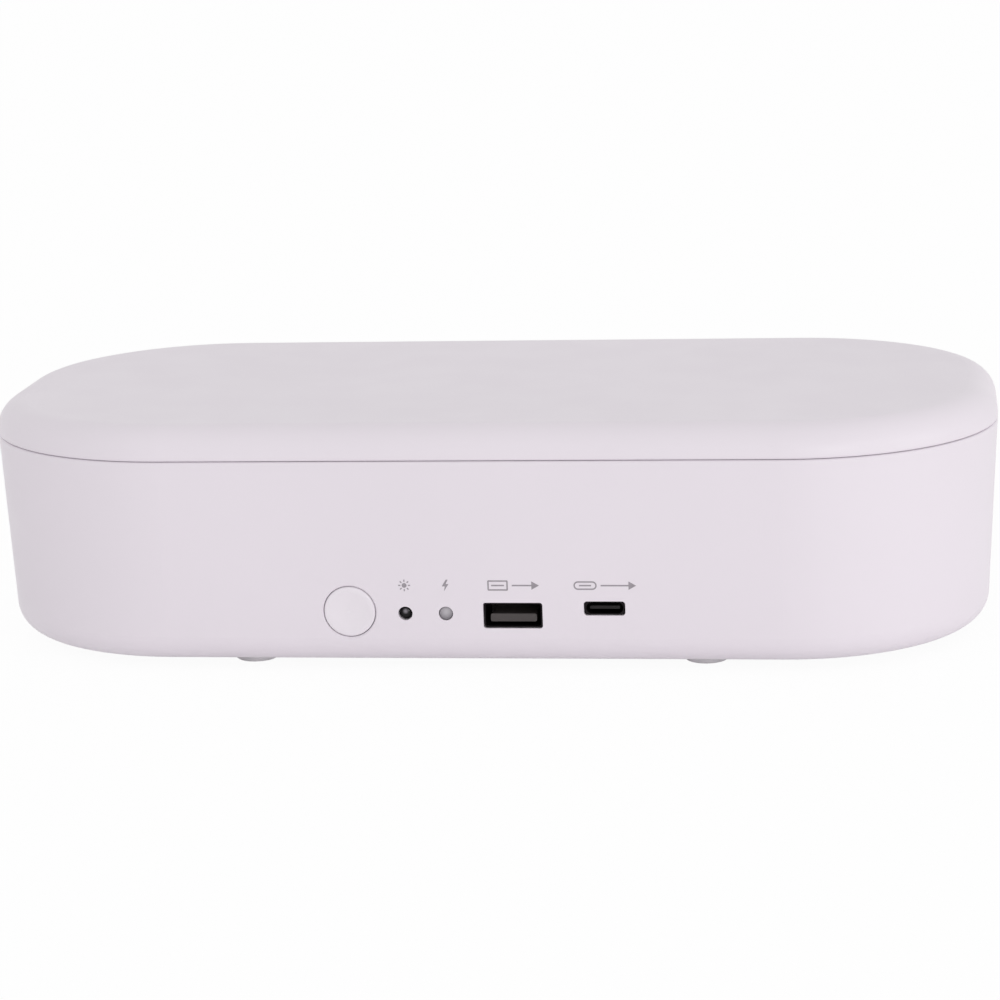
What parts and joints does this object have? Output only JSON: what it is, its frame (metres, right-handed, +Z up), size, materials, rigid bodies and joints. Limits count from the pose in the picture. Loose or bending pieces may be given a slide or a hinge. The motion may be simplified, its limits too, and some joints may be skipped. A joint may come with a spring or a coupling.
{
  "type": "uv sanitizer box for phones",
  "caption": "Low round-cornered ultraviolet sanitizing box for phones with a hinged lid, front push button, two indicator lamps and two charging sockets.",
  "frame": {"origin": "on the table under the middle of the outline, with the hinge knuckles behind counted in", "axes": "+X to the right of someone who faces the button, -Y towards them, +Z up; the lid closed and the button out"},
  "size_m": [0.236, 0.1212, 0.057],
  "materials": {
    "shell_plastic": "satin pearl lilac-grey moulding",
    "button_plastic": "smooth satin",
    "reflector_plastic": "aluminium-coated moulding, soft mirror",
    "window_glass": "clear, ultraviolet-passing",
    "lamp_board": "aluminium-cored board with white mask",
    "lamp_package": "ceramic lamp package",
    "circuit_board": "green solder mask",
    "screw_steel": "zinc-plated",
    "pin_steel": "bright",
    "cable_sheath": "smooth black",
    "chip_plastic": "moulded black",
    "socket_plastic": "moulded black",
    "coil_copper": "enamelled copper wire",
    "can_aluminium": "drawn can",
    "socket_metal": "nickel-plated sheet",
    "contact_brass": "gold-plated",
    "dark_lens": "dark tinted",
    "grey_lens": "frosted light guide",
    "magnet_metal": "nickel-plated",
    "foot_rubber": "translucent grey silicone"
  },
  "bodies": {
    "case": {"base_shell": "shell_plastic", "chamber_tub": "reflector_plastic", "floor_window": "window_glass", "floor_lamp_board": "lamp_board", "floor_uv_lamps": "lamp_package", "floor_board_screws": "screw_steel", "main_board": "circuit_board", "power_board": "circuit_board", "board_screws": "screw_steel", "board_link": "cable_sheath", "control_chips": "chip_plastic", "driver_coil": "coil_copper", "capacitors": "can_aluminium", "wide_socket_shell": "socket_metal", "wide_socket_tongue": "socket_plastic", "slim_socket_shell": "socket_metal", "slim_socket_tongue": "socket_plastic", "socket_contacts": "contact_brass", "push_switch": "chip_plastic", "uv_indicator": "dark_lens", "charge_indicator": "grey_lens", "indicator_legs": "pin_steel", "inlet_body": "socket_plastic", "inlet_pin": "pin_steel", "lid_sensor": "chip_plastic", "sensor_lead": "cable_sheath", "floor_lamp_lead": "cable_sheath", "case_lead": "cable_sheath", "case_magnets": "magnet_metal", "case_screws": "screw_steel", "rubber_feet": "foot_rubber", "hinge_pins": "pin_steel"},
    "lid": {"lid_shell": "shell_plastic", "lid_liner": "reflector_plastic", "lid_window": "window_glass", "lid_lamp_board": "lamp_board", "lid_uv_lamps": "lamp_package", "lid_board_screws": "screw_steel", "liner_screws": "screw_steel", "lid_magnets": "magnet_metal", "lid_lead": "cable_sheath"},
    "button": {"power_button": "button_plastic", "switch_plunger": "chip_plastic"}
  },
  "joints": [
    {"name": "lid_hinge", "type": "hinge", "parent": "case", "child": "lid", "pos_m": [0, 0.05665, 0.04935], "axis": [-1, 0, 0], "range_deg": [0, 100]},
    {"name": "button_press", "type": "slide", "parent": "case", "child": "button", "axis": [0, 0.9989, 0.0465], "range_m": [0, 0.0007], "stiffness_N_per_m": 1000}
  ]
}
